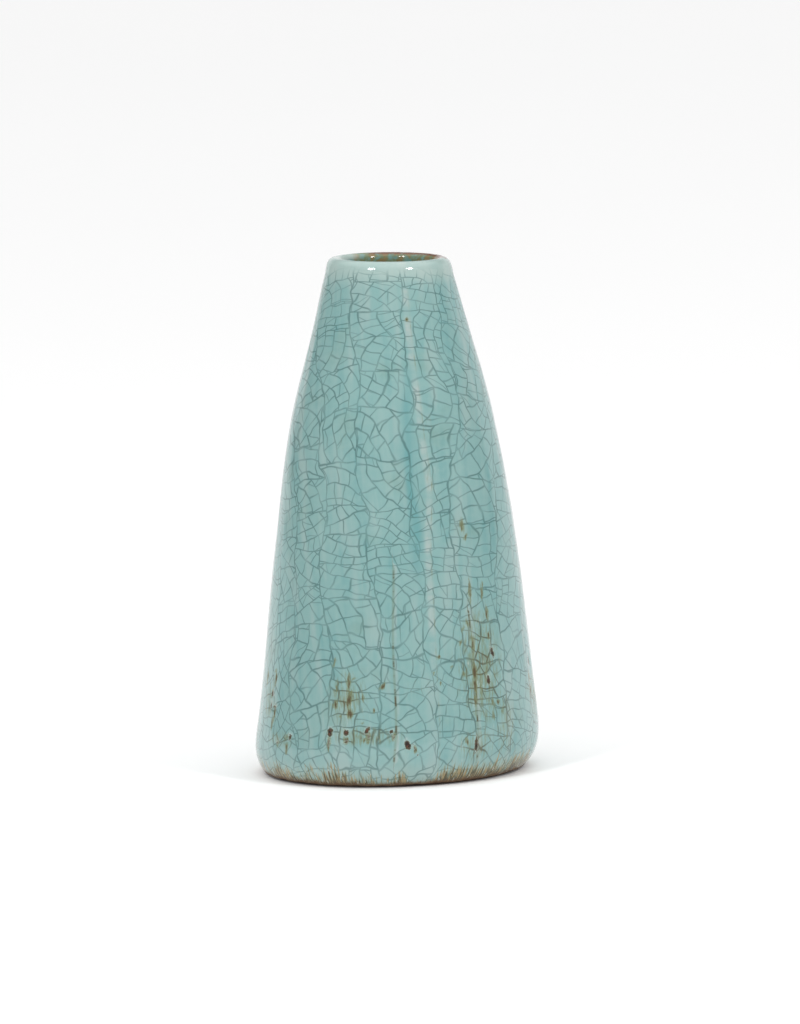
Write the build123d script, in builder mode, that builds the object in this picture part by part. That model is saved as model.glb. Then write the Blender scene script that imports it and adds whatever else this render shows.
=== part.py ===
from build123d import *
import os
from math import cos, radians, sin

# A small bud vase in crackle-glazed earthenware: a tall, round, tapering bottle with a soft
# shoulder, a thick rolled lip and a narrow mouth. The clay wall is two press-moulded half shells
# that close round a floor disc, as staves close round a barrel's head. Wet clay slip glues the
# joints. A turquoise glaze coats the outside, a second one lines the inside, and a thin iron wash
# stains the rounded edge of the bare foot.
#
# Every piece is turned about the vase's own axis, so one outline in the plane y = 0 gives it.
# Units are millimetres. The origin is the middle of the foot, on the table, with +Z up and the
# front of the vase towards -Y.

# Overall form, measured on the glazed surface
HEIGHT = 150.0            # table to the crest of the lip
BELLY_RADIUS = 41.2       # the widest place
BELLY_HEIGHT = 9.5
SHOULDER_RADIUS = 18.8    # where the lip's roll begins
SHOULDER_HEIGHT = 145.0
SHOULDER_LEAN = 14.7      # degrees from upright, there
CREST_RADIUS = 15.7       # the top of the lip's roll
# Radius of the glazed wall at heights between the belly and the lip's roll
WALL_RADIUS = {20.0: 40.2, 32.0: 38.8, 43.0: 37.55, 66.5: 34.9, 90.0: 31.7, 107.5: 28.45, 125.0: 23.85}

# Mouth: a short round throat below the lip
MOUTH_RADIUS = 13.8
THROAT_TOP = 147.8
THROAT_LENGTH = 6.8
THROAT_BOTTOM = THROAT_TOP - THROAT_LENGTH

# Coats and joints
GLAZE = 0.6               # outer glaze
LINING = 0.5              # inner glaze
POOL = 0.7                # inner glaze where it pooled on the floor
WASH = 0.25               # iron wash on the foot
SLIP = 0.4                # slip round the floor disc
SEAM = 0.5                # slip between the two half shells
SEAM_TURN = 17.2          # degrees from the front towards +X, where the front seam runs

# Foot and floor
FOOT_OUTER = 34.5         # the ring that touches the table
FOOT_INNER = 29.0
LEDGE_TOP = 3.0           # the floor disc sits on this ledge inside the foot ring
FLOOR_THICKNESS = 5.2
GLAZE_LINE = 56.0         # degrees round the bottom corner, where the outer glaze stops
WASH_END = 74.0           # degrees round it, where the wash was wiped off for the table
CORNER_ROLL = 4.0         # radius of the pooled lining in the inside corner

# Worked out from those
BORE_RADIUS = MOUTH_RADIUS + LINING
FLOOR_BOTTOM = LEDGE_TOP + SLIP
FLOOR_TOP = FLOOR_BOTTOM + FLOOR_THICKNESS
POOL_TOP = FLOOR_TOP + POOL
INSIDE_FOOT = POOL_TOP + CORNER_ROLL          # where the inside wall starts to rise freely
LEDGE_RADIUS = BELLY_RADIUS - GLAZE - 5.4     # inside of the clay wall at the floor
DISC_RADIUS = LEDGE_RADIUS - SLIP
# Radius of the bare clay inside, from the floor up to the throat
INSIDE_RADIUS = {30.0: 33.2, 55.0: 30.6, 80.0: 27.4, 102.0: 24.0, 122.0: 19.0}

UP, DOWN, INWARD = (0, 1), (0, -1), (-1, 0)


def lean(degrees):
    """Direction in the outline that rises and leans towards the axis."""
    return (-sin(radians(degrees)), cos(radians(degrees)))


def outside_wall(depth):
    """The outside from the belly up to the lip's roll, this far under the glazed surface."""
    stations = [(radius - depth, height) for height, radius in WALL_RADIUS.items()]
    return Spline(
        (BELLY_RADIUS - depth, BELLY_HEIGHT),
        *stations,
        (SHOULDER_RADIUS - depth, SHOULDER_HEIGHT),
        tangents=(UP, lean(SHOULDER_LEAN)),
    )


def lip_outside(depth):
    """The outer half of the lip's roll, up to its crest."""
    return Spline(
        (SHOULDER_RADIUS - depth, SHOULDER_HEIGHT),
        (CREST_RADIUS, HEIGHT - depth),
        tangents=(lean(SHOULDER_LEAN), INWARD),
    )


def lip_inside(depth, radius):
    """The inner half of the lip's roll, from its crest down into the throat."""
    return Spline(
        (CREST_RADIUS, HEIGHT - depth),
        (radius, THROAT_TOP - depth),
        tangents=(INWARD, DOWN),
    )


def inside_wall(depth):
    """The inside from the throat down to the floor's corner, this far in front of bare clay."""
    stations = [(radius - depth, height) for height, radius in reversed(INSIDE_RADIUS.items())]
    return Spline(
        (BORE_RADIUS - depth, THROAT_BOTTOM),
        *stations,
        (LEDGE_RADIUS - depth, INSIDE_FOOT),
        tangents=(DOWN, DOWN),
    )


def corner(proud, start, end):
    """The rounded bottom corner, this far proud of bare clay, between two angles round it."""
    return EllipticalCenterArc(
        (FOOT_OUTER, BELLY_HEIGHT),
        BELLY_RADIUS - GLAZE - FOOT_OUTER + proud,
        BELLY_HEIGHT + proud,
        start_angle=-start,
        arc_size=start - end,
    )


def wall_outline():
    """The outline of the clay wall, with its foot ring and the ledge for the floor disc."""
    rounded = corner(0, 0, 90)
    outside = outside_wall(GLAZE)
    roll = lip_outside(GLAZE)
    turned_in = lip_inside(GLAZE, BORE_RADIUS)
    throat = Line(turned_in @ 1, (BORE_RADIUS, THROAT_BOTTOM))
    inside = inside_wall(0)
    Polyline(
        inside @ 1,
        (LEDGE_RADIUS, LEDGE_TOP),
        (FOOT_INNER, LEDGE_TOP),
        (FOOT_INNER, 0),
        rounded @ 1,
    )


def seam_plane(shift):
    """The upright plane of the two seams, moved this far towards the right-hand half."""
    turn = radians(SEAM_TURN)
    along, across = Vector(sin(turn), -cos(turn), 0), Vector(cos(turn), sin(turn), 0)
    return Plane(origin=across * shift, x_dir=along, z_dir=across)


os.makedirs("parts", exist_ok=True)

# The two half shells of the clay wall, each pressed in its own mould
with BuildPart() as clay_half_right:
    with BuildSketch(Plane.XZ):
        with BuildLine():
            wall_outline()
        make_face()
    revolve(axis=Axis.Z)
    split(bisect_by=seam_plane(SEAM / 2), keep=Keep.TOP)
clay_half_right.part.label = "clay_half_right"

with BuildPart() as clay_half_left:
    with BuildSketch(Plane.XZ):
        with BuildLine():
            wall_outline()
        make_face()
    revolve(axis=Axis.Z)
    split(bisect_by=seam_plane(-SEAM / 2), keep=Keep.BOTTOM)
clay_half_left.part.label = "clay_half_left"

# The slip that glues the half shells: one strip at the front seam and one at the back
with BuildPart() as seam_slip:
    with BuildSketch(Plane.XZ):
        with BuildLine():
            wall_outline()
        make_face()
    revolve(axis=Axis.Z)
    split(bisect_by=seam_plane(SEAM / 2), keep=Keep.BOTTOM)
    split(bisect_by=seam_plane(-SEAM / 2), keep=Keep.TOP)
seam_slip.part.label = "seam_slip"

# The floor disc, held between the half shells on the ledge of the foot ring
with BuildPart() as clay_floor:
    with BuildSketch(Plane.XY.offset(FLOOR_BOTTOM)):
        Circle(DISC_RADIUS)
    extrude(amount=FLOOR_THICKNESS)
clay_floor.part.label = "clay_floor"

# The slip under the disc's edge and round it
with BuildPart() as floor_slip:
    with BuildSketch(Plane.XY.offset(LEDGE_TOP)):
        Circle(LEDGE_RADIUS)
        Circle(FOOT_INNER, mode=Mode.SUBTRACT)
    extrude(amount=SLIP)
    with BuildSketch(Plane.XY.offset(FLOOR_BOTTOM)):
        Circle(LEDGE_RADIUS)
        Circle(DISC_RADIUS, mode=Mode.SUBTRACT)
    extrude(amount=FLOOR_THICKNESS)
floor_slip.part.label = "floor_slip"

# The crackled turquoise glaze, from the glaze line above the foot to the lip's crest
with BuildPart() as outer_glaze:
    with BuildSketch(Plane.XZ):
        with BuildLine():
            glazed_corner = corner(GLAZE, 0, GLAZE_LINE)
            outside_wall(0)
            glazed_lip = lip_outside(0)
            clay_corner = corner(0, 0, GLAZE_LINE)
            outside_wall(GLAZE)
            clay_lip = lip_outside(GLAZE)
            Line(glazed_corner @ 1, clay_corner @ 1)
            Line(glazed_lip @ 1, clay_lip @ 1)
        make_face()
    revolve(axis=Axis.Z)
outer_glaze.part.label = "outer_glaze"

# The lining glaze: over the inner half of the lip, down the throat and wall, pooled on the floor
with BuildPart() as inner_glaze:
    with BuildSketch(Plane.XZ):
        with BuildLine():
            lining_lip = lip_inside(0, MOUTH_RADIUS)
            Line(lining_lip @ 1, (MOUTH_RADIUS, THROAT_BOTTOM))
            lining_wall = inside_wall(LINING)
            pooled = RadiusArc(
                lining_wall @ 1,
                (LEDGE_RADIUS - LINING - CORNER_ROLL, POOL_TOP),
                CORNER_ROLL,
            )
            bare_lip = lip_inside(GLAZE, BORE_RADIUS)
            Line(bare_lip @ 1, (BORE_RADIUS, THROAT_BOTTOM))
            bare_wall = inside_wall(0)
            Line(lining_lip @ 0, bare_lip @ 0)
            Polyline(bare_wall @ 1, (LEDGE_RADIUS, FLOOR_TOP), (0, FLOOR_TOP), (0, POOL_TOP), pooled @ 1)
        make_face()
    revolve(axis=Axis.Z)
inner_glaze.part.label = "inner_glaze"

# The iron wash on the foot's rounded edge, between the glaze line and the bare resting ring
with BuildPart() as foot_wash:
    with BuildSketch(Plane.XZ):
        with BuildLine():
            washed = corner(WASH, GLAZE_LINE, WASH_END)
            under = corner(0, GLAZE_LINE, WASH_END)
            Line(washed @ 0, under @ 0)
            Line(washed @ 1, under @ 1)
        make_face()
    revolve(axis=Axis.Z)
foot_wash.part.label = "foot_wash"

PIECES = (
    clay_half_right,
    clay_half_left,
    seam_slip,
    clay_floor,
    floor_slip,
    outer_glaze,
    inner_glaze,
    foot_wash,
)
for piece in PIECES:
    export_step(piece.part, f"parts/{piece.part.label}.step")
    print(piece.part.label, len(piece.part.solids()), round(piece.part.volume))
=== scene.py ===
from math import atan2, cos, degrees, radians, sin, tan
from random import Random

import bmesh
import bpy
import numpy as np
from bpy.props import (
    FloatProperty,
    FloatVectorProperty,
    IntProperty,
    PointerProperty,
)
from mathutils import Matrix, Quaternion, Vector, noise


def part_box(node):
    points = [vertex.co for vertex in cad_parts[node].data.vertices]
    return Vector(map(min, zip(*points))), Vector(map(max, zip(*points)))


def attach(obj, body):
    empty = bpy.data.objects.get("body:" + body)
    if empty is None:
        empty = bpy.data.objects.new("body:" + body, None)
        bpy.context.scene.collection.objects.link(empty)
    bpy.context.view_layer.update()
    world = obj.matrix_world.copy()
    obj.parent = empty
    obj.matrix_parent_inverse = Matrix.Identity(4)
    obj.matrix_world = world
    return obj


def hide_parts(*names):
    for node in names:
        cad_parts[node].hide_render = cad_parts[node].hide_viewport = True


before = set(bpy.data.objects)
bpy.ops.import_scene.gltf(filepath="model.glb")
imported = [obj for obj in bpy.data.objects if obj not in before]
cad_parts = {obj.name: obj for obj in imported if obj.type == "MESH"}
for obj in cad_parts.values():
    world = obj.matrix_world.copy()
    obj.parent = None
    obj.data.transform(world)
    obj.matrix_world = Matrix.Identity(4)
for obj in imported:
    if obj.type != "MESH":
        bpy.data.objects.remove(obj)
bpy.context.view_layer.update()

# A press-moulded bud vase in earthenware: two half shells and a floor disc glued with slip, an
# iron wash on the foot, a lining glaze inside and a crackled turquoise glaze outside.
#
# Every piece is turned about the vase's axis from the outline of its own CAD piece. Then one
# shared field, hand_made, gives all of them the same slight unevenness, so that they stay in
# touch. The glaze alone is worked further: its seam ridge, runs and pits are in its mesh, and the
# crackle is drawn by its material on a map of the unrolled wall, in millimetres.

bl_info = {
    "name": "Crackle Bud Vase",
    "version": (1, 0, 0),
    "blender": (4, 5, 0),
    "location": "View3D > Sidebar > Bud Vase",
    "description": "Makes a press-moulded bud vase with a crackled turquoise glaze",
    "category": "Object",
}

MM = 0.001
BODY = "root"
WELD = 1e-7

GLAZE_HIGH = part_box("outer_glaze")[1]
HEIGHT = GLAZE_HIGH.z
BELLY = GLAZE_HIGH.x

# The front seam runs up the wall at this many degrees from the front (-Y) towards +X. The back
# seam is opposite, and every outline is turned from there.
FRONT_SEAM = 17.2
BACK_SEAM = FRONT_SEAM - 180
SEAM_ACROSS = Vector((cos(radians(FRONT_SEAM)), sin(radians(FRONT_SEAM)), 0))
SEAM_SLIP = 0.5 * MM

# The middle of the rounded bottom corner's curve, and the glaze that stops part way round it
CORNER_RADIUS = 34.5 * MM
CORNER_HEIGHT = 9.5 * MM
GLAZE_THICK = 0.6 * MM
GLAZE_LINE = radians(56)

# The unrolled wall is a fan, as a cone's is: this is how far the fan's point lies above the foot.
FAN_REACH = 255 * MM
FAN_SPREAD = 0.166

# Where the pot's unevenness comes and goes: heights, and then distances from the axis
STEADY_FOOT = 6 * MM
BULGE_STARTS = (12 * MM, 35 * MM)
BULGE_ENDS = (78 * MM, 110 * MM)
LIP_STARTS = 128 * MM
STEADY_MIDDLE = 12 * MM
LIP_SHOULDER = (15 * MM, 19.5 * MM)

# The slip squeezed out inside the foot ring: how far it bulges, and how tall the bead is
BEAD_BULGE = 1.1 * MM
BEAD_HEIGHT = 1.5 * MM

# The two round lamps: degrees from the front (-Y) towards +X and to either side of there, degrees
# up, and metres away
LAMP_TURN, LAMP_SPREAD, LAMP_RISE, LAMP_REACH = 4, 40, 35.5, 1.6
LAMP_SIZE, LAMP_POWER = 0.24, 6.8

CAMERA_AIM = Vector((1.7 * MM, 0, 75.36 * MM))


# ---------------------------------------------------------------------------------------------
# Sizes and colours
# ---------------------------------------------------------------------------------------------


def length(name, description, default):
    """A length the user can change."""
    return FloatProperty(name=name, description=description, default=default, min=0, unit="LENGTH")


def colour(name, description, default):
    """A colour the user can change."""
    return FloatVectorProperty(
        name=name, description=description, default=default, size=3, min=0, max=1, subtype="COLOR"
    )


def angle(name, description, default):
    """An angle the user can change."""
    return FloatProperty(name=name, description=description, default=default, subtype="ANGLE")


class VaseShape(bpy.types.PropertyGroup):
    """How far the hand-made pot strays from a true turned form."""

    swell: length("Swell", "Height of the slow swells in the wall", 0.22 * MM)
    swell_size: length("Swell size", "Distance from one slow swell to the next", 34 * MM)
    ripple: length("Ripple", "Height of the small ripples in the wall", 0.05 * MM)
    ripple_size: length("Ripple size", "Distance between small ripples", 9 * MM)
    lean: angle("Lean", "How far the pot leans towards +X", radians(0.66))
    foot_shift: length("Foot shift", "How far the foot sits towards -X", 1.4 * MM)
    foot_height: length("Foot height", "Height over which the foot comes back in line", 21 * MM)
    lip_drop: FloatProperty(
        name="Lip drop", description="Slope of the lip down towards +X", default=0.024
    )
    lip_tip: FloatProperty(
        name="Lip tip", description="Slope of the lip down towards the back", default=0.018
    )
    slump: length("Slump", "How far the lip's shoulder sank on the +X side", 0.7 * MM)
    bulge: length("Bulge", "How much fuller the lower wall is on the +X side", 0.45 * MM)


class MeshSteps(bpy.types.PropertyGroup):
    """How the pieces' meshes are divided."""

    turns: IntProperty(name="Steps round", description="Faces round the glaze", default=360, min=16)
    crowd: FloatProperty(
        name="Crowding", description="How much closer the steps are at the seams", default=0.45, max=0.9
    )
    ring: length("Ring", "Height of each ring of faces low on the glaze", 0.46 * MM)
    upper_ring: length("Upper ring", "Height of each ring of faces higher up", 1.0 * MM)
    worn_height: length("Worn height", "How high the fine rings reach", 44 * MM)
    hidden_ring: length("Hidden ring", "Height of each ring where a coat can't be seen", 4 * MM)
    mouth_ring: length("Mouth ring", "Height of each ring of faces in the mouth", 0.5 * MM)
    clay_turns: IntProperty(
        name="Clay steps", description="Faces round the clay", default=180, min=16
    )
    clay_ring: length("Clay ring", "Height of each ring of faces on the clay", 1.2 * MM)


class GlazeRelief(bpy.types.PropertyGroup):
    """How far the glaze's own relief stands proud or sinks in."""

    ridge: length("Seam ridge", "Height of the ridge over each seam", 0.14 * MM)
    ridge_width: length("Ridge width", "Half width of that ridge", 0.75 * MM)
    trough: length("Trough", "Depth of the trough beside the front seam", 0.14 * MM)
    trough_width: length("Trough width", "Half width of that trough", 1.7 * MM)
    run: length("Run", "Height of the upright runs", 0.07 * MM)
    pit: length("Pit", "Depth of the deepest pits", 0.3 * MM)


class GlazeLook(bpy.types.PropertyGroup):
    """The crackle glaze's colours."""

    body: colour("Glaze", "The glaze on the open wall", (0.203, 0.375, 0.366))
    deep: colour("Deep glaze", "The glaze where it ran thick", (0.125, 0.315, 0.320))
    thin: colour("Thin glaze", "The glaze where it ran thin", (0.285, 0.43, 0.41))
    # Pale is partly painted highlight: on the outer lip, round each pit and along the front of the lining's
    # crest; elsewhere it is thin or cream glaze
    pale: colour("Pale glaze", "The glaze on the lip, the seams and round pits", (0.45, 0.54, 0.50))
    crack: colour("Crack", "Ink rubbed into the crackle", (0.050, 0.120, 0.118))
    olive: colour("Olive", "Stain under the glaze round worn places", (0.185, 0.215, 0.11))
    stain: colour("Stain", "Brown clay that shows through worn glaze", (0.075, 0.052, 0.018))
    # Tan also makes the flecks near the top of the mouth, which are partly painted glints
    tan: colour("Tan", "Paler clay beside it", (0.36, 0.27, 0.13))
    umber: colour("Umber", "Iron stain along the foot", (0.115, 0.058, 0.020))
    slip: colour("Slip", "Greyish glaze along the seams", (0.375, 0.455, 0.435))
    pit: colour("Pit", "The bottom of a pit in the glaze", (0.010, 0.005, 0.002))
    rust: colour("Rust", "Iron-rich clay in the largest pit and on the crest", (0.13, 0.040, 0.016))


class StageLook(bpy.types.PropertyGroup):
    """The camera, the lights and the floor."""

    distance: length("Camera distance", "From the camera to the vase", 4.0)
    elevation: angle("Elevation", "How far the camera looks down", radians(7.2))
    roll: angle("Roll", "How far the camera is tipped", radians(1.77))
    lens: FloatProperty(name="Lens", description="Focal length", default=483.8, unit="CAMERA")
    floor: colour("Floor", "The pale floor", (0.92, 0.92, 0.92))


class BudVaseSettings(bpy.types.PropertyGroup):
    """Everything a user can change."""

    shape: PointerProperty(type=VaseShape)
    build: PointerProperty(type=MeshSteps)
    relief: PointerProperty(type=GlazeRelief)
    glaze: PointerProperty(type=GlazeLook)
    stage: PointerProperty(type=StageLook)


def settings():
    return bpy.context.scene.bud_vase


# ---------------------------------------------------------------------------------------------
# Outlines, taken from the CAD pieces
# ---------------------------------------------------------------------------------------------


def section(node, side=1):
    """The CAD piece's outline in the plane y = 0, on the +X side or the -X side, as a ring of
    (radius, height) that goes up on the outside and down on the inside. Where the piece reaches
    the axis, the ring starts and ends there."""
    bm = bmesh.new()
    bm.from_mesh(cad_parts[node].data)
    bmesh.ops.remove_doubles(bm, verts=bm.verts, dist=WELD)
    for normal in ((1, 0, 0), (0, 1, 0)):
        everything = [*bm.verts, *bm.edges, *bm.faces]
        cut = bmesh.ops.bisect_plane(
            bm, geom=everything, dist=WELD, plane_co=(0, 0, 0), plane_no=normal
        )
    edges = {
        edge
        for edge in cut["geom_cut"]
        if isinstance(edge, bmesh.types.BMEdge)
        and sum(vert.co.x for vert in edge.verts) * side > WELD
        and all(abs(vert.co.y) < WELD for vert in edge.verts)
    }
    verts = sorted({vert for edge in edges for vert in edge.verts}, key=lambda vert: -vert.co.z)
    ends = [vert for vert in verts if sum(edge in edges for edge in vert.link_edges) == 1]
    ring = [ends[0] if ends else verts[0]]
    while True:
        step = next((edge for edge in ring[-1].link_edges if edge in edges), None)
        if step is None:
            break
        edges.discard(step)
        ring.append(step.other_vert(ring[-1]))
    if not ends:
        ring.pop()
    points = [(max(vert.co.x * side, 0.0), vert.co.z) for vert in ring]
    bm.free()
    area = sum(a[0] * b[1] - b[0] * a[1] for a, b in zip(points, points[1:] + points[:1]))
    return points if area > 0 else points[::-1]


def runs_of(ring, sharp=40):
    """The ring split where it turns a corner, each run with both its corners."""
    count = len(ring)
    corners = []
    for i, point in enumerate(ring):
        before = Vector(point) - Vector(ring[i - 1])
        after = Vector(ring[(i + 1) % count]) - Vector(point)
        if degrees(before.angle(after)) > sharp:
            corners.append(i)
    runs = []
    for start, end in zip(corners, corners[1:] + [corners[0] + count]):
        runs.append([ring[i % count] for i in range(start, end + 1)])
    return runs


def spaced_points(run, step):
    """Points on a smooth curve through the run's own points, as far apart as step says at each
    height."""
    given = np.array(run)
    along = np.concatenate(([0], np.cumsum(np.linalg.norm(np.diff(given, axis=0), axis=1))))
    rate = np.array([1 / step(height) for height in given[:, 1]])
    count = np.concatenate(([0], np.cumsum(np.diff(along) * (rate[1:] + rate[:-1]) / 2)))
    wanted = np.interp(np.linspace(0, count[-1], max(2, round(count[-1]) + 1)), count, along)
    slope = np.gradient(given, along, axis=0) if len(given) > 2 else np.diff(given, axis=0) / along[-1]
    slope = np.resize(slope, given.shape)
    left = np.clip(np.searchsorted(along, wanted) - 1, 0, len(given) - 2)
    span = (along[left + 1] - along[left])[:, None]
    t = (wanted - along[left])[:, None] / span
    return (
        given[left] * (1 + 2 * t) * (1 - t) ** 2
        + slope[left] * span * t * (1 - t) ** 2
        + given[left + 1] * t**2 * (3 - 2 * t)
        + slope[left + 1] * span * t**2 * (t - 1)
    ).tolist()


def even(length):
    """The same step at every height."""
    return lambda height: length


def outline(node, rising, falling, side=1):
    """The piece's whole outline, stepped by one rule on the runs that rise and by another on the
    rest. It starts at the axis if the piece reaches it, and else at its longest rise."""
    runs = [run for run in runs_of(section(node, side)) if run[0][0] + run[-1][0] > WELD]
    rises = [run[-1][1] - run[0][1] for run in runs]
    central = [run[0][0] < WELD for run in runs]
    first = central.index(True) if any(central) else rises.index(max(rises))
    points = []
    for run, rise in zip(runs[first:] + runs[:first], rises[first:] + rises[:first]):
        points += spaced_points(run, rising if rise > MM else falling)[:-1]
    if any(central):
        points.append(run[-1])
    return points


# ---------------------------------------------------------------------------------------------
# Turning and shaping
# ---------------------------------------------------------------------------------------------


def turned(points, steps, crowd=0.0):
    """An outline turned about the axis from the back seam. The layer named along holds the
    outline's length. Crowd draws the steps together at both seams."""
    bm = bmesh.new()
    along = bm.verts.layers.float.new("along")
    here = radians(BACK_SEAM)
    chain = []
    total = 0.0
    for i, (radius, height) in enumerate(points):
        if i:
            total += (Vector((radius, height)) - Vector(points[i - 1])).length
        vert = bm.verts.new((radius * sin(here), -radius * cos(here), height))
        vert[along] = total
        chain.append(vert)
    pairs = list(zip(chain, chain[1:]))
    if points[0][0] > WELD:
        pairs.append((chain[-1], chain[0]))
    bmesh.ops.spin(
        bm,
        geom=chain + [bm.edges.new(pair) for pair in pairs],
        cent=(0, 0, 0),
        axis=(0, 0, 1),
        dvec=(0, 0, 0),
        angle=radians(360),
        steps=steps,
        use_merge=True,
        use_duplicate=False,
    )
    bmesh.ops.remove_doubles(bm, verts=bm.verts, dist=WELD)
    bmesh.ops.recalc_face_normals(bm, faces=bm.faces)
    for vert in bm.verts:
        turn = radians(degrees_round(vert.co))
        nearer = Quaternion((0, 0, 1), -crowd / 2 * sin(2 * turn))
        vert.co = nearer @ vert.co
    return bm


def cut_flat(bm, shift, keep):
    """Cuts along the plane of the seams, moved this far across, keeps the side that faces +X
    (keep 1) or -X (keep -1), and closes the cut."""
    bmesh.ops.bisect_plane(
        bm,
        geom=[*bm.verts, *bm.edges, *bm.faces],
        dist=WELD,
        plane_co=SEAM_ACROSS * shift,
        plane_no=SEAM_ACROSS * keep,
        clear_inner=True,
    )
    rim = [edge for edge in bm.edges if edge.is_boundary]
    bmesh.ops.holes_fill(bm, edges=rim, sides=len(rim))
    bmesh.ops.recalc_face_normals(bm, faces=bm.faces)


def degrees_round(co):
    """Degrees round the vase from the front seam, from -180 to 180."""
    return (degrees(atan2(co.x, -co.y)) - FRONT_SEAM + 180) % 360 - 180


def smooth_step(low, high, value):
    """0 below low, 1 above high, and an even S between them."""
    t = np.clip((value - low) / (high - low), 0, 1)
    return t * t * (3 - 2 * t)


def hand_made(co):
    """Where a point of the true turned form lies on the real, uneven pot."""
    shape = settings().shape
    moved = co.copy()
    out = Vector((co.x, co.y, 0))
    if out.length > WELD:
        out.normalize()
        round_wall = Vector((out.x * BELLY, out.y * BELLY, co.z))
        push = shape.swell * noise.noise(round_wall / shape.swell_size + Vector((3.1, 7.7, 1.9)))
        push += shape.ripple * noise.noise(round_wall / shape.ripple_size)
        full = smooth_step(*BULGE_STARTS, co.z) * (1 - smooth_step(*BULGE_ENDS, co.z))
        push += shape.bulge * max(out.x, 0) ** 2 * float(full)
        moved += out * push * min(co.z / STEADY_FOOT, 1) * min(co.xy.length / STEADY_MIDDLE, 1)
    low = 1 - min(co.z / shape.foot_height, 1)
    moved.x -= shape.foot_shift * low * low
    moved.x += tan(shape.lean) * (co.z - HEIGHT / 2)
    at_lip = float(smooth_step(LIP_STARTS, HEIGHT, co.z))
    moved.z -= at_lip * (shape.lip_drop * co.x + shape.lip_tip * co.y)
    shoulder = float(smooth_step(*LIP_SHOULDER, co.xy.length))
    moved.z -= shape.slump * shoulder * at_lip * max(out.x, 0) ** 2
    moved.z = max(moved.z, 0.0)
    return moved


def reshape(bm):
    """Gives a piece the pot's shared unevenness."""
    for vert in bm.verts:
        vert.co = hand_made(vert.co)


def wall_maps(bm):
    """A map of the unrolled, fan-shaped wall, in millimetres."""
    along = bm.verts.layers.float["along"]
    unrolled = bm.loops.layers.uv.new("unrolled")
    for face in bm.faces:
        middle = degrees_round(face.calc_center_median())
        for loop in face.loops:
            turn = degrees_round(loop.vert.co)
            turn += 360 * round((middle - turn) / 360)
            reach = FAN_REACH - loop.vert[along]
            angle = radians(turn) * FAN_SPREAD
            loop[unrolled].uv = (reach * sin(angle) / MM, (FAN_REACH - reach * cos(angle)) / MM)


# ---------------------------------------------------------------------------------------------
# The glaze's relief and wear, in millimetres on the true turned form
# ---------------------------------------------------------------------------------------------

# Worn patches: degrees from the front, height, half width, half height and how strong
WORN_PATCHES = (
    (-22.0, 26.0, 6.5, 8.5, 0.85),
    (-15.0, 15.5, 12.0, 3.0, 0.85),
    (4.5, 12.0, 3.5, 2.5, 0.5),
    (38.5, 33.0, 8.0, 18.0, 1.0),
    (34.0, 11.0, 7.0, 5.0, 0.85),
    (50.0, 16.0, 5.0, 12.0, 0.7),
    (35.0, 74.0, 1.8, 4.0, 0.6),
    (21.0, 104.0, 2.0, 4.0, 0.35),
    (19.0, 88.0, 3.5, 7.0, 0.38),
    (12.5, 133.7, 1.6, 1.6, 0.5),
    (-28.0, 100.0, 4.0, 5.0, 0.3),
    (10.0, 29.0, 7.0, 5.0, 0.3),
)
# Pits: degrees from the front, height, half width, half height, lean in degrees, and depth as a
# part of the deepest
PITS = (
    (-29.0, 16.4, 0.80, 1.50, 0, 1.0),
    (-28.9, 13.6, 0.50, 1.90, -3, 0.5),
    (-27.7, 17.2, 0.50, 0.50, 40, 0.5),
    (-21.8, 16.4, 0.80, 1.00, 0, 1.0),
    (-21.6, 13.9, 0.55, 0.60, 0, 0.7),
    (-12.8, 17.2, 0.60, 1.25, 30, 0.9),
    (-12.0, 15.4, 0.40, 1.00, -10, 0.5),
    (-2.8, 16.7, 0.60, 0.70, 20, 0.85),
    (-1.9, 15.0, 0.40, 0.90, 0, 0.5),
    (3.9, 12.8, 0.80, 1.60, -20, 1.0),
    (6.5, 12.2, 0.35, 1.10, -15, 0.5),
    (8.1, 9.8, 0.45, 0.45, 0, 0.6),
    (33.6, 11.3, 0.60, 2.30, 0, 0.85),
    (26.7, 11.8, 0.35, 1.50, 0, 0.4),
    (42.3, 29.2, 0.60, 1.50, -6, 0.9),
    (46.0, 37.0, 0.60, 1.80, -12, 0.9),
)
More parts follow.
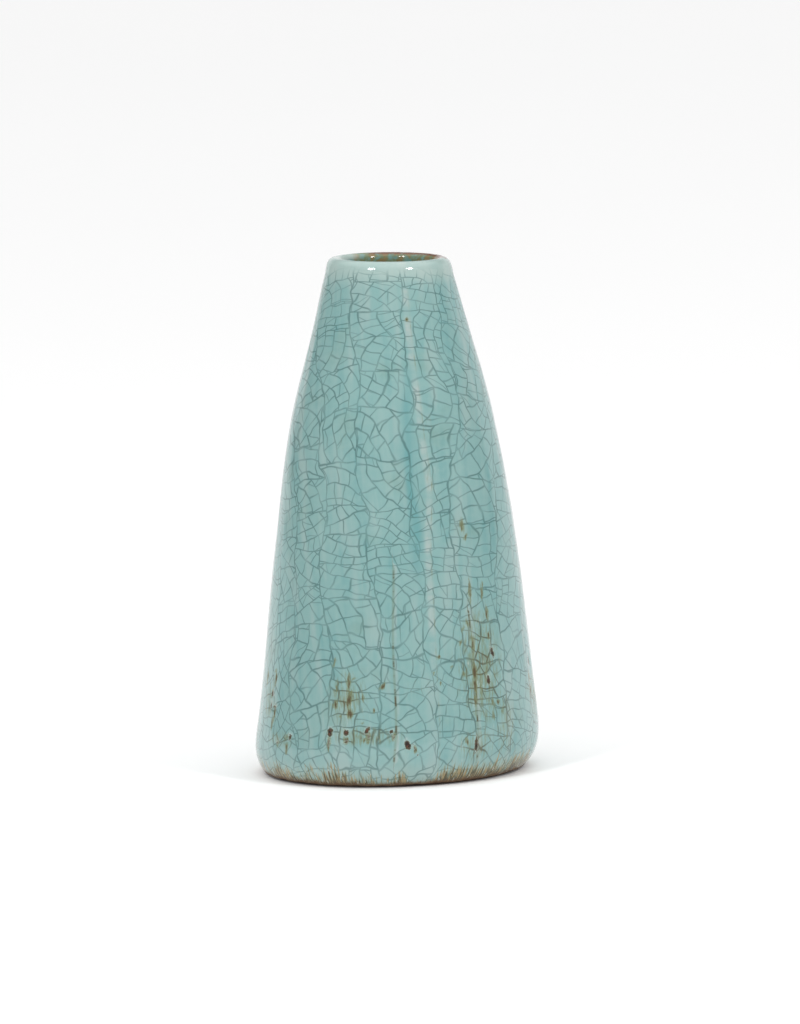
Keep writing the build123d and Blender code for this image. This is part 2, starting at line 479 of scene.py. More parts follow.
# Stained scratches and specks, in the same way, but with how dark they are in the last place
SCRATCHES = (
    (-21.2, 31.0, 0.65, 3.60, 0, 0.80),
    (-20.9, 25.8, 0.75, 2.80, 10, 1.00),
    (-20.3, 22.0, 1.05, 1.50, 0, 1.00),
    (-26.9, 24.4, 0.75, 1.50, 0, 0.90),
    (-27.2, 29.0, 0.60, 3.20, 0, 0.62),
    (-28.2, 36.5, 0.60, 2.20, 20, 0.55),
    (-18.7, 32.0, 0.60, 0.60, 0, 0.80),
    (-24.5, 21.1, 0.60, 0.70, -30, 0.70),
    (-14.6, 26.5, 0.60, 1.70, 0, 0.62),
    (-15.2, 19.2, 0.60, 0.60, 0, 0.70),
    (-10.2, 22.9, 0.60, 0.90, -20, 0.75),
    (-6.3, 29.8, 0.65, 1.20, 35, 0.90),
    (-13.9, 14.3, 0.60, 0.55, 0, 0.75),
    (-16.5, 15.4, 0.60, 0.90, 0, 0.60),
    (-12.2, 13.6, 0.60, 0.50, 0, 0.70),
    (-29.2, 13.4, 0.60, 2.40, -3, 1.00),
    (-21.5, 14.2, 0.80, 1.30, 0, 0.95),
    (-12.4, 15.4, 0.65, 1.70, -8, 0.95),
    (-2.0, 15.3, 0.60, 1.30, 0, 0.80),
    (7.0, 11.4, 0.60, 1.40, -15, 0.85),
    (43.0, 55.0, 0.60, 3.00, 8, 0.75),
    (44.8, 48.5, 0.60, 2.40, 0, 0.85),
    (36.0, 55.5, 0.65, 4.00, 4, 0.75),
    (35.3, 40.3, 0.70, 2.80, 0, 0.75),
    (35.1, 32.3, 0.80, 2.60, 0, 1.00),
    (34.8, 28.3, 0.75, 2.80, 0, 0.85),
    (34.3, 24.0, 0.60, 2.00, 0, 0.75),
    (33.2, 46.5, 0.60, 1.60, -20, 0.65),
    (31.0, 45.0, 0.60, 1.20, 30, 0.55),
    (37.9, 28.0, 0.60, 4.50, 4, 0.60),
    (41.5, 31.5, 0.60, 4.00, 6, 0.55),
    (43.5, 22.5, 0.65, 2.20, -8, 0.65),
    (29.0, 41.0, 0.55, 1.40, 25, 0.55),
    (44.5, 42.0, 0.60, 1.30, 0, 0.85),
    (18.4, 37.4, 0.65, 0.70, 40, 0.90),
    (16.0, 33.0, 0.60, 0.60, 0, 0.65),
    (18.6, 29.9, 0.60, 0.60, 0, 0.70),
    (24.1, 34.3, 0.55, 0.60, 0, 0.65),
    (29.6, 32.0, 0.60, 0.90, 0, 0.70),
    (46.5, 22.6, 0.65, 1.00, 0, 0.85),
    (48.6, 20.0, 0.60, 1.60, 0, 0.60),
    (43.2, 18.8, 0.70, 1.40, -15, 0.70),
    (29.2, 12.6, 0.60, 1.50, -20, 0.80),
    (34.8, 74.5, 0.65, 1.80, 0, 0.85),
    (36.5, 71.0, 0.60, 1.40, 30, 0.75),
    (12.5, 133.7, 0.60, 0.60, 0, 0.85),
)
# Long upright scratches that took stain: degrees from the front, where each starts and ends
SCARS = (
    (-1.3, 8.0, 64.0),
    (34.7, 5.0, 50.0),
    (163.0, 6.0, 42.0),
    (-110.0, 9.0, 58.0),
)
# More of the same on the back and the sides: where each cluster is, how far it spreads in
# millimetres and how many marks it has
CLUSTERS = (
    (78, 22, 8, 12, 9),
    (112, 30, 7, 14, 14),
    (121, 14, 12, 3, 9),
    (168, 20, 6, 9, 9),
    (186, 66, 4, 6, 4),
    (214, 15, 13, 3, 10),
    (236, 29, 8, 11, 14),
    (291, 24, 6, 9, 9),
    (303, 13, 9, 3, 6),
)


def scattered_marks():
    """The pits and scratches of the back and the sides."""
    chance = Random(23)
    pits, scratches = [], []
    for turn, height, wide, high, count in CLUSTERS:
        for i in range(count):
            place = (
                turn + degrees(chance.gauss(0, wide / 2) * MM / BELLY),
                max(height + chance.gauss(0, high / 2), 9.0),
                chance.uniform(0.5, 0.8),
                chance.uniform(0.6, 2.8),
                chance.gauss(0, 9),
            )
            if i % 3 == 0:
                pits.append((*place, chance.uniform(0.5, 0.9)))
            else:
                scratches.append((*place, chance.uniform(0.6, 1.0)))
    return pits, scratches


class Wall:
    """The glaze's vertices as arrays, in degrees from the front and millimetres."""

    def __init__(self, bm):
        co = np.array([vert.co[:] for vert in bm.verts]) / MM
        layer = bm.verts.layers.float["along"]
        along = np.array([vert[layer] for vert in bm.verts]) / MM
        self.turn = np.degrees(np.arctan2(co[:, 0], -co[:, 1]))
        self.height = co[:, 2]
        self.radius = np.hypot(co[:, 0], co[:, 1])
        self.outside = along <= along[np.argmax(self.height)] + 0.01

    def across(self, turn):
        """Millimetres round the wall from this many degrees."""
        return np.radians((self.turn - turn + 180) % 360 - 180) * self.radius

    def mark(self, turn, height, half_width, half_height, lean=0.0):
        """1 in the middle of an upright, soft-edged spot, and 0 away from it."""
        x, y = self.across(turn), self.height - height
        c, s = cos(radians(lean)), sin(radians(lean))
        return np.exp(-(((x * c - y * s) / half_width) ** 2) - ((x * s + y * c) / half_height) ** 2)

    def grain(self, size_round, size_up, seed):
        """Smooth noise from about -1 to 1 that is longer one way than the other."""
        angle = np.radians(self.turn)
        spread = self.radius / size_round
        places = zip(np.sin(angle) * spread + seed, np.cos(angle) * spread, self.height / size_up)
        return np.array([noise.noise(place) for place in places])

    def highest(self, marks):
        """The strongest of the marks at each vertex."""
        best = np.zeros(len(self.turn))
        for *place, strength in marks:
            best = np.maximum(best, self.mark(*place) * strength)
        return best

    def scar_off(self):
        """Millimetres from the nearest long scratch."""
        nearest = np.full(len(self.turn), 9.0)
        for turn, low, high in SCARS:
            sway = 0.4 * np.sin(self.height / 7.0 + turn)
            away = self.across(turn + sway)
            past = np.maximum(np.maximum(low - self.height, self.height - high), 0)
            away = away + np.copysign(past, away)
            nearest = np.where(abs(away) < abs(nearest), away, nearest)
        return nearest

    def seam_off(self):
        """Millimetres from the nearer seam's line, which wanders a little."""
        wander = 2.6 * np.exp(-(((self.height - 86) / 11) ** 2))
        wander -= 2.2 * smooth_step(105, 135, self.height)
        front = self.across(FRONT_SEAM + wander)
        back = self.across(BACK_SEAM + wander)
        return np.where(abs(front) < abs(back), front, back)

    def trough(self, width):
        """1 along the trough beside the front seam, where the glaze ran thick."""
        sway = 1.2 * np.sin(self.height / 9.0) + 0.6 * np.sin(self.height / 3.7)
        reach = smooth_step(48, 72, self.height) * (1 - smooth_step(108, 126, self.height))
        return np.exp(-((self.across(9.4 + sway) / width) ** 2)) * reach


def store(bm, name, values):
    """Keeps a number for each vertex, which the material reads by this name."""
    layer = bm.verts.layers.float.new(name)
    for vert, value in zip(bm.verts, values.tolist()):
        vert[layer] = value


def work_glaze(bm):
    """Gives the coat its ridges, runs and pits, and notes what the material needs."""
    relief = settings().relief
    wall = Wall(bm)
    more_pits, more_scratches = scattered_marks()
    pits = wall.highest([*PITS, *more_pits])
    scratches = wall.highest([*SCRATCHES, *more_scratches])
    seam = wall.seam_off()
    trough = wall.trough(relief.trough_width / MM)
    runs = wall.grain(3.2, 38.0, 4.0) + 0.5 * wall.grain(1.5, 22.0, 9.0)
    round_clusters = [(*place, wide * 0.8, high * 0.8, 0.8) for *place, wide, high, _ in CLUSTERS]
    worn = wall.highest([*WORN_PATCHES, *round_clusters])

    push = relief.ridge * np.exp(-(((seam + 0.5) / (relief.ridge_width / MM)) ** 2))
    push *= 0.3 + 0.7 * smooth_step(22.0, 48.0, wall.height)
    push = push - relief.trough * trough + relief.run * runs - relief.pit * pits
    push *= smooth_step(2.0, 7.0, wall.height) * (1 - smooth_step(144.0, 149.0, wall.height))
    push *= wall.outside / MM
    for vert, further, radius in zip(bm.verts, push.tolist(), wall.radius.tolist()):
        vert.co.xy *= 1 + further / radius

    notes = {"seam": seam, "scar": wall.scar_off(), "rise": wall.height, "trough": trough}
    notes.update({"worn": worn, "pit": pits, "scratch": scratches})
    for name, values in notes.items():
        store(bm, name, values)


def ragged_foot(bm):
    """Lets the glaze's lowest edge run down over the wash in places."""
    reach, drop = BELLY - CORNER_RADIUS, CORNER_HEIGHT + GLAZE_THICK
    for vert in bm.verts:
        radius = vert.co.xy.length
        out, down = (radius - CORNER_RADIUS) / reach, (CORNER_HEIGHT - vert.co.z) / drop
        if out <= 0 or down <= 0:
            continue
        place = Vector((vert.co.x, vert.co.y, 0)) / (5 * MM)
        drip = 0.55 + 0.6 * noise.noise(place) + 0.4 * noise.noise(place * 3.1)
        lower = radians(7) * min(max(drip, 0), 1.2)
        lower *= float(smooth_step(radians(25), GLAZE_LINE, atan2(down, out)))
        vert.co.xy *= (CORNER_RADIUS + reach * (out * cos(lower) - down * sin(lower))) / radius
        vert.co.z = CORNER_HEIGHT - drop * (down * cos(lower) + out * sin(lower))


def finished(bm, name, material, slot, *nodes):
    """Makes the piece's object, gives it its material and ties it to the frame."""
    mesh = bpy.data.meshes.new(name)
    bm.to_mesh(mesh)
    bm.free()
    mesh.shade_smooth()
    mesh.set_sharp_from_angle(angle=radians(50))
    piece = bpy.data.objects.new(name, mesh)
    bpy.context.scene.collection.objects.link(piece)
    mesh.materials.append(material)
    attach(piece, BODY)
    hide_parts(*nodes)
    return piece


# ---------------------------------------------------------------------------------------------
# Shader building
# ---------------------------------------------------------------------------------------------


class Recipe:
    """The nodes of a material or of the sky, and short ways to add to them. A value is a number,
    a colour or a socket."""

    def __init__(self, owner, shader="Principled BSDF"):
        owner.use_nodes = True
        self.owner = owner
        self.tree = owner.node_tree
        self.shader = self.tree.nodes[shader]
        self.coat = None

    def put(self, socket, value):
        if isinstance(value, bpy.types.NodeSocket):
            self.tree.links.new(value, socket)
        elif hasattr(value, "__len__") and socket.type == "RGBA":
            socket.default_value = (*value, 1)
        else:
            socket.default_value = value

    def add(self, kind, inputs, **options):
        node = self.tree.nodes.new("ShaderNode" + kind)
        for name, value in options.items():
            setattr(node, name, value)
        for name, value in inputs.items():
            self.put(node.inputs[name], value)
        return node

    def where(self, output="Object"):
        return self.add("TexCoord", {}).outputs[output]

    def attribute(self, name):
        return self.add("Attribute", {}, attribute_name=name).outputs["Fac"]

    def sum(self, kind, *values):
        return self.add("Math", dict(enumerate(values)), operation=kind).outputs[0]

    def times(self, product, *others):
        for other in others:
            product = self.sum("MULTIPLY", product, other)
        return product

    def off(self, value, middle=None):
        """How far the value is from the middle, either way."""
        if middle is not None:
            value = self.sum("SUBTRACT", value, middle)
        return self.sum("ABSOLUTE", value)

    def shaken(self, level, noise, amount):
        """The level, moved up and down by the noise."""
        return self.sum("MULTIPLY_ADD", self.sum("SUBTRACT", noise, 0.5), amount, level)

    def vector(self, kind, *values):
        node = self.add("VectorMath", dict(enumerate(values)), operation=kind)
        return node.outputs["Value" if kind in ("LENGTH", "DOT_PRODUCT") else "Vector"]

    def scaled(self, vector, amount):
        return self.add("VectorMath", {"Vector": vector, "Scale": amount}, operation="SCALE").outputs[0]

    def joined(self, x, y):
        return self.add("CombineXYZ", {"X": x, "Y": y}).outputs[0]

    def heading(self, angle):
        return self.joined(self.sum("COSINE", angle), self.sum("SINE", angle))

    def parts(self, vector):
        return self.add("SeparateXYZ", {"Vector": vector}).outputs

    def between(self, value, low, high, to_low=0.0, to_high=1.0):
        inputs = {"Value": value, "From Min": low, "From Max": high, "To Min": to_low, "To Max": to_high}
        return self.add("MapRange", inputs, interpolation_type="SMOOTHSTEP").outputs["Result"]

    def noise(self, vector, scale, detail=2.0, roughness=0.5, output="Fac"):
        inputs = {"Vector": vector, "Scale": scale, "Detail": detail, "Roughness": roughness}
        return self.add("TexNoise", inputs).outputs[output]

    def chance(self, vector):
        """A random colour for each value of the vector."""
        return self.add("TexWhiteNoise", {"Vector": vector}, noise_dimensions="3D").outputs["Color"]

    def rows(self, value, spacing, spread=0.62):
        """Cracks across one direction: the distance to the nearest, a number for each gap between
        two cracks, and where that gap is."""
        w = self.sum("DIVIDE", value, spacing)
        inputs = {"W": w, "Scale": 1.0, "Randomness": spread}
        edge = self.add("TexVoronoi", inputs, voronoi_dimensions="1D", feature="DISTANCE_TO_EDGE")
        cell = self.add("TexVoronoi", inputs, voronoi_dimensions="1D", feature="F1")
        away = self.times(edge.outputs["Distance"], spacing)
        return away, cell.outputs["Color"], self.times(cell.outputs["W"], spacing)

    def blend(self, factor, a, b):
        return self.add("Mix", {0: factor, 6: a, 7: b}, data_type="RGBA").outputs[2]

    def lay(self, colour, *factors):
        """Lays a colour over the coat so far, as strongly as all the factors together say."""
        self.coat = self.blend(self.times(*factors), self.coat, colour)

    def bump(self, height, depth, strength):
        """A normal from a height from 0 to 1, where 1 stands this far proud."""
        inputs = {"Height": height, "Distance": depth, "Strength": strength}
        return self.add("Bump", inputs).outputs["Normal"]

    def finish(self, **inputs):
        for name, value in inputs.items():
            self.put(self.shader.inputs[name.replace("_", " ")], value)
        return self.owner


# ---------------------------------------------------------------------------------------------
# Materials
# ---------------------------------------------------------------------------------------------

# The crackle, in millimetres: how far apart the cracks of each kind are, how far they wander
# slowly and quickly, and over what distance
UPRIGHT_CRACKS, CROSS_CRACKS = 12.0, 11.0
ARCS, SPOKES, SPLINTERS = 4.0, 3.8, 3.6
DRIFT, DRIFT_SIZE = 24.0, 52
KINK, KINK_SIZE = 5.5, 11
# Distances along the wall that no row of cracks repeats within, so that each plot gets its own
FRESH_PLOT, FRESH_ARCS, FRESH_SPOKES = 400.0, 900.0, 700.0

# Across the mouth, towards the side where iron wash shows through, in millimetres
TO_WASHED_SIDE = (0.60 / MM, 0.80 / MM, 0.0)

CLAY = ((0.33, 0.19, 0.10), (0.12, 0.06, 0.03))
JOINT_SLIP = ((0.38, 0.23, 0.13), (0.2, 0.11, 0.06))
IRON_WASH = ((0.09, 0.045, 0.02), (0.02, 0.012, 0.007))
DARK_SPECKS = (0.03, 0.018, 0.01)


def wandering(recipe, flat):
    """The unrolled wall, bent slowly and quickly so that no crack on it runs straight."""
    for size, detail, reach in ((DRIFT_SIZE, 1.0, DRIFT), (KINK_SIZE, 2.0, KINK)):
        shift = recipe.noise(flat, 1 / size, detail, output="Color")
        shift = recipe.scaled(recipe.vector("SUBTRACT", shift, (0.5, 0.5, 0.5)), reach)
        yield shift


def crackle(recipe, flat):
    """The crackle on the unrolled wall, in millimetres. Long cracks run up the wall, shorter ones
    join them across, each plot between them is cracked in arcs and spokes, and some of those
    cells are cracked again. Returns how dark the nearest crack is, how dark the spot is where two
    meet, and a random colour for each cell."""
    drift, kink = wandering(recipe, flat)
    bent = recipe.vector("ADD", recipe.vector("ADD", flat, drift), kink)
    bent_parts = recipe.parts(bent)
    up, up_id, up_at = recipe.rows(bent_parts["X"], UPRIGHT_CRACKS)
    shift = recipe.sum("MULTIPLY_ADD", recipe.parts(up_id)["X"], FRESH_PLOT, 311.0)
    across, across_id, across_at = recipe.rows(recipe.sum("ADD", bent_parts["Y"], shift), CROSS_CRACKS)
    plot = recipe.chance(recipe.vector("ADD", up_id, recipe.scaled(across_id, 7.3)))
    plot_parts = recipe.parts(plot)

    # The arcs of a plot share a centre, some way off from the plot's own middle
    away = recipe.heading(recipe.times(plot_parts["X"], radians(360)))
    reach = recipe.sum("MULTIPLY_ADD", plot_parts["Y"], 24.0, 11.0)
    middle = recipe.joined(up_at, recipe.sum("SUBTRACT", across_at, shift))
    centre = recipe.vector("SUBTRACT", middle, recipe.scaled(away, reach))
    from_centre = recipe.vector("MULTIPLY", recipe.vector("SUBTRACT", bent, centre), (1, 1, 0))
    radius = recipe.vector("LENGTH", from_centre)
    ahead = recipe.vector("DOT_PRODUCT", from_centre, away)
    aside = recipe.parts(recipe.vector("CROSS_PRODUCT", away, from_centre))["Z"]
    swung = recipe.times(recipe.sum("ARCTAN2", aside, ahead), reach)
    arc, arc_id, _ = recipe.rows(recipe.sum("MULTIPLY_ADD", plot_parts["Z"], FRESH_ARCS, radius), ARCS)
    shuffled = recipe.sum("MULTIPLY_ADD", recipe.parts(arc_id)["X"], FRESH_SPOKES, swung)
    spoke, spoke_id, _ = recipe.rows(shuffled, SPOKES)
    spoke = recipe.times(spoke, recipe.sum("DIVIDE", radius, reach))

    # Splinters cross some of the cells, each in its own direction
    cell = recipe.chance(recipe.vector("ADD", recipe.vector("ADD", arc_id, spoke_id), plot))
    cell_parts = recipe.parts(cell)
    slanted = recipe.heading(recipe.times(cell_parts["X"], radians(180)))
    splinter, _, _ = recipe.rows(recipe.vector("DOT_PRODUCT", bent, slanted), SPLINTERS)
    chosen = recipe.sum("GREATER_THAN", cell_parts["Y"], 0.70)

    # Each kind's half width where it fades out, in millimetres, and how dark it is
    kinds = ((up, 0.36, 0.95), (across, 0.35, 0.92), (arc, 0.34, 0.9), (spoke, 0.32, 0.86))
    lines = [recipe.between(distance, 0.05, soft, dark, 0.0) for distance, soft, dark in kinds]
    lines.append(recipe.times(recipe.between(splinter, 0.03, 0.27, 0.65, 0.0), chosen))
    line, total = lines[0], lines[0]
    for other in lines[1:]:
        line = recipe.sum("MAXIMUM", line, other)
        total = recipe.sum("ADD", total, other)
    patchy = recipe.noise(flat, 1 / 6, 2.0)
    line = recipe.times(line, recipe.between(patchy, 0.3, 0.66, 0.5, 1.0))
    knot = recipe.between(recipe.sum("SUBTRACT", total, line), 0.75, 1.3)
    return line, recipe.times(knot, recipe.between(patchy, 0.45, 0.6)), cell


class CrackleGlaze(Recipe):
    """The outer glaze. Each method lays its own colours over what is there so far."""

    def __init__(self):
        super().__init__(bpy.data.materials.new("crackle glaze"))
        self.look = settings().glaze
        self.flat = self.add("UVMap", {}, uv_map="unrolled").outputs[0]
        self.x, self.y, _ = self.parts(self.flat)
        self.place = self.where()
        self.height = self.attribute("rise")
        self.seam = self.attribute("seam")
        self.scar = self.attribute("scar")
        self.fine = self.noise(self.flat, 1 / 2.2, 3.0)

    def mixed(self):
        """The material, with every colour laid in turn."""
        self.runs()
        self.ridges()
        line = self.cracks()
        bare = self.wear(line)
        self.scars()
        stained, hole = self.marks()
        edge = self.foot()
        self.crest()

        # Bare spots are matt and sunk, and so a little are the cracks
        open_clay = self.sum("MAXIMUM", self.sum("MAXIMUM", bare, hole), self.sum("MAXIMUM", stained, edge))
        rough = self.between(open_clay, 0.0, 1.0, 0.08, 0.6)
        sunk = self.sum("MAXIMUM", self.times(line, 0.3), open_clay)
        skin = self.noise(self.flat, 1 / 1.6, 2.0)
        normal = self.bump(self.sum("SUBTRACT", self.times(skin, 0.14), sunk), 0.06 * MM, 0.6)
        return self.finish(Base_Color=self.coat, Roughness=rough, IOR=1.5, Normal=normal)

    def streaks(self, across, up, detail=3.0, shift=0.0):
        """Noise drawn out up the wall, this many millimetres across and up."""
        x = self.sum("MULTIPLY_ADD", self.x, 1 / across, shift)
        return self.noise(self.joined(x, self.sum("DIVIDE", self.y, up)), 1.0, detail, 0.6)

    def runs(self):
        """Soft streaks where it ran down the wall, over slow clouds of thicker and thinner coat."""
        look, lay, between = self.look, self.lay, self.between
        streak = self.streaks(4.2, 55.0)
        self.coat = self.blend(between(streak, 0.34, 0.50, 0.5, 0.0), look.body, look.deep)
        lay(look.thin, between(streak, 0.52, 0.70, 0.0, 0.55))
        lay(look.thin, between(self.noise(self.flat, 1 / 30, 2.0), 0.35, 0.7, 0.0, 0.3))
        lay(look.slip, between(self.streaks(6.5, 40.0, 2.0, 23.0), 0.50, 0.68, 0.0, 0.45))
        lay(look.olive, between(self.noise(self.flat, 1 / 13, 3.0), 0.54, 0.72, 0.0, 0.16))
        lay(look.thin, between(self.fine, 0.35, 0.75, 0.0, 0.3))
        lay(look.deep, self.attribute("trough"), 0.85)

    def ridges(self):
        """It drew thin and grey off the ridges, in patches, and pale off the foot. The lip is paler as
        well, partly thin glaze and partly painted highlight from the light above.
        """
        look, lay, between = self.look, self.lay, self.between
        lay(
            look.slip,
            between(self.off(self.seam, -0.75), 0.3, 1.7, 1.0, 0.0),
            between(self.streaks(40.0, 9.0, 3.0, 5.0), 0.28, 0.62),
            between(self.height, 24.0, 50.0, 0.25, 0.9),
            between(self.fine, 0.3, 0.6, 0.6, 1.0),
        )
        # Paler lip: partly thin glaze, partly painted highlight where the lip turns up to the light
        lay(look.pale, between(self.height, 142.0, 147.5), 0.6)
        lay(look.pale, between(self.height, 3.0, 9.0, 0.4, 0.0))
        lay(
            look.slip,
            between(self.off(self.scar, 0.65), 0.1, 0.8, 1.0, 0.0),
            between(self.streaks(30.0, 11.0, 3.0, 41.0), 0.35, 0.6, 0.1, 0.6),
        )

    def cracks(self):
        """The crackle, and a broken, stained hairline that follows the seam."""
        look, lay, between = self.look, self.lay, self.between
        line, knot, cell = crackle(self, self.flat)
        lay(look.thin, between(self.parts(cell)["Z"], 0.0, 1.0, 0.0, 0.2))
        lay(look.crack, line, between(self.height, 145.0, 148.5, 0.72, 0.0))
        lay(look.crack, knot, 0.6)
        lay(
            look.olive,
            between(self.off(self.seam), 0.05, 0.34, 1.0, 0.0),
            between(self.streaks(50.0, 5.0), 0.44, 0.66, 0.04, 0.4),
            between(self.height, 138.0, 144.0, 1.0, 0.0),
        )
        return line

    def wear(self, line):
        """Round worn places the stain has crept under, and strokes go down to the clay."""
        look, lay, between = self.look, self.lay, self.between
        worn = self.attribute("worn")
        level = self.sum("MULTIPLY_ADD", worn, 0.27, self.streaks(0.62, 4.2, 4.0, 7.0))
        lay(look.olive, between(level, 0.56, 0.84), between(worn, 0.05, 0.6), 0.6)
        lay(look.pale, between(self.streaks(0.7, 3.0, 3.0, 31.0), 0.60, 0.70), worn, 0.7)
        bare = between(level, 0.84, 0.92)
        lay(look.stain, bare, 0.8)
        lay(look.stain, line, between(worn, 0.1, 0.95, 0.0, 0.7))
        return bare

    def scars(self):
        """Long scratches, dotted with stain."""
        look, lay, between = self.look, self.lay, self.between
        off = self.off(self.scar)
        lay(look.olive, between(off, 0.1, 0.7, 0.28, 0.0))
        beaded = between(self.streaks(30.0, 4.0, 4.0, 17.0), 0.47, 0.62, 0.06, 0.95)
        lay(look.stain, between(off, 0.10, 0.42, 1.0, 0.0), beaded, 0.85)

    def marks(self):
        """Strokes of stain, and pits with a dark bottom, a broken edge and rust in the deepest. Round each
        pit lies a pale ring, partly the glaze's own pale edge and partly painted highlight where the rim
        catches the light.
        """
        look, lay, between = self.look, self.lay, self.between
        level = self.shaken(self.attribute("scratch"), self.streaks(0.42, 1.9, 3.0, 71.0), 1.2)
        lay(look.olive, between(level, 0.18, 0.55, 0.0, 0.75))
        stained = between(level, 0.48, 0.78, 0.0, 0.95)
        lay(look.stain, stained)
        pit = self.attribute("pit")
        level = self.shaken(pit, self.noise(self.flat, 1 / 0.8, 3.0), 0.8)
        # Pale ring round each pit: partly pale glaze at the edge, partly painted highlight
        lay(look.pale, between(level, 0.12, 0.30), 0.30)
        lay(look.stain, between(level, 0.28, 0.48), 0.9)
        hole = between(level, 0.45, 0.75)
        lay(look.pit, hole)
        rusty = between(self.noise(self.place, 900.0, 2.0), 0.42, 0.56)
        lay(look.rust, rusty, between(pit, 0.55, 0.85))
        return stained, hole

    def foot(self):
        """Upright brown, tan and cream strokes over a brown edge. They reach highest to the right
        of the front seam."""
        look, lay, between = self.look, self.lay, self.between
        stroke = self.streaks(0.55, 7.0, 4.0, 3.0)
        level = self.sum("MULTIPLY_ADD", self.height, -1 / 4.6, 1.03)
        level = self.shaken(level, stroke, 3.2)
        level = self.shaken(level, self.streaks(7.0, 30.0, 2.0, 13.0), 2.0)
        right = self.times(between(self.x, -4.0, 7.0), between(self.x, 30.0, 45.0, 1.0, 0.0))
        gap = between(self.off(self.x, -5.0), 2.0, 6.0, 1.0, 0.0)
        left = between(self.x, -22.0, -32.0)
        for stretch, higher in ((right, 0.45), (gap, -0.45), (left, 0.22)):
            level = self.sum("MULTIPLY_ADD", stretch, higher, level)
        lay(look.olive, between(level, 0.1, 0.6, 0.0, 0.6))
        lay(look.stain, between(level, 0.42, 0.80, 0.0, 0.85))
        sandy = between(self.streaks(0.5, 5.0, 3.0, 57.0), 0.49, 0.59)
        lay(look.tan, sandy, between(level, 0.15, 0.4), 0.85)
        cream = between(self.streaks(0.8, 3.0, 3.0, 91.0), 0.58, 0.66)
        lay(look.pale, cream, between(level, 0.2, 0.5), 0.9)
        edge = between(self.sum("MULTIPLY_ADD", stroke, 3.2, self.height), 3.0, 4.0, 0.95, 0.0)
        lay(look.umber, edge)
        return edge

    def crest(self):
        """A rusty line on the back of the crest, where iron wash from the mouth shows through."""
        behind = self.vector("DOT_PRODUCT", self.place, TO_WASHED_SIDE)
        crest = self.between(self.height, 149.6, 149.9)
        self.lay(self.look.rust, crest, self.between(behind, 6.0, 9.5), 0.8)


def lining_material():
    look = settings().glaze
    recipe = Recipe(bpy.data.materials.new("lining glaze"))
    lay, between = recipe.lay, recipe.between
    place = recipe.where()
    height = recipe.attribute("rise")
    patch = recipe.noise(place, 260.0, 3.0)
    fleck = recipe.noise(place, 620.0, 3.0)
    recipe.coat = recipe.blend(between(patch, 0.35, 0.65), look.deep, look.body)

    # Iron wash shows through it at the back of the mouth
    behind = recipe.vector("DOT_PRODUCT", place, TO_WASHED_SIDE)
    washed = recipe.times(
        between(recipe.shaken(behind, patch, 14.0), -2.0, 4.0),
        between(height, 118.0, 136.0),
        between(fleck, 0.32, 0.50, 0.3, 0.95),
    )
    lay(look.olive, washed)
    flecks = recipe.times(washed, between(fleck, 0.50, 0.62))
    lay(look.umber, flecks, 0.8)
    # Tan flecks near the top of the mouth: partly paler clay, partly painted glints
    lay(look.tan, flecks, between(height, 146.0, 148.5), 0.6)
    crest = recipe.times(between(height, 149.3, 149.75), between(behind, 6.0, 9.5))
    lay(look.rust, crest, between(fleck, 0.3, 0.5, 0.6, 0.95))
    # Painted highlight: a pale line along the inner crest on the side towards the front (-Y), standing in
    # for the bright rim light there
    lay(look.pale, between(height, 147.8, 149.2), between(behind, 1.0, 6.0, 1.0, 0.0), 0.85)

    normal = recipe.bump(recipe.noise(place, 420.0, 2.0), 0.25 * MM, 0.6)
    return recipe.finish(Base_Color=recipe.coat, Roughness=0.1, IOR=1.5, Normal=normal)


def clay_material(name, colours, depth):
    """Bare or washed clay, from a pale and a dark colour: cloudy, grainy and matt, with specks."""
    pale, dark = colours
    recipe = Recipe(bpy.data.materials.new(name))
    place = recipe.where()
    grain = recipe.noise(place, 900.0, 5.0, 0.65)
    recipe.coat = recipe.blend(recipe.between(recipe.noise(place, 70.0, 3.0), 0.3, 0.7), dark, pale)
    recipe.lay(dark, recipe.between(grain, 0.5, 0.7, 0.0, 0.5))
    recipe.lay(DARK_SPECKS, recipe.between(recipe.noise(place, 1500.0, 1.0), 0.66, 0.72, 0.0, 0.8))
    rough = recipe.between(grain, 0.3, 0.7, 0.72, 0.95)
    return recipe.finish(Base_Color=recipe.coat, Roughness=rough, Normal=recipe.bump(grain, depth, 0.7))


# ---------------------------------------------------------------------------------------------
# Operators
# ---------------------------------------------------------------------------------------------


class VaseOperator:
    """What the vase's operators share."""

    bl_options = {"REGISTER", "UNDO"}

    def execute(self, context):
        self.make()
        return {"FINISHED"}


def clay_wall():
    """The whole clay wall, still in one piece."""
    build = settings().build
    step = even(build.clay_ring)
    bm = turned(outline("clay_half_right", step, step), build.clay_turns)
    reshape(bm)
    return bm


class MakeClayShells(VaseOperator, bpy.types.Operator):
    """Press the two half shells of the clay wall"""

    bl_idname = "bud_vase.clay_shells"
    bl_label = "Clay half shells"

    def make(self):
        clay = clay_material("bare clay", CLAY, 0.15 * MM)
        for hand, side in (("right", 1), ("left", -1)):
            bm = clay_wall()
            cut_flat(bm, side * SEAM_SLIP / 2, side)
            finished(bm, f"shell_{hand}", clay, "clay", f"clay_half_{hand}")


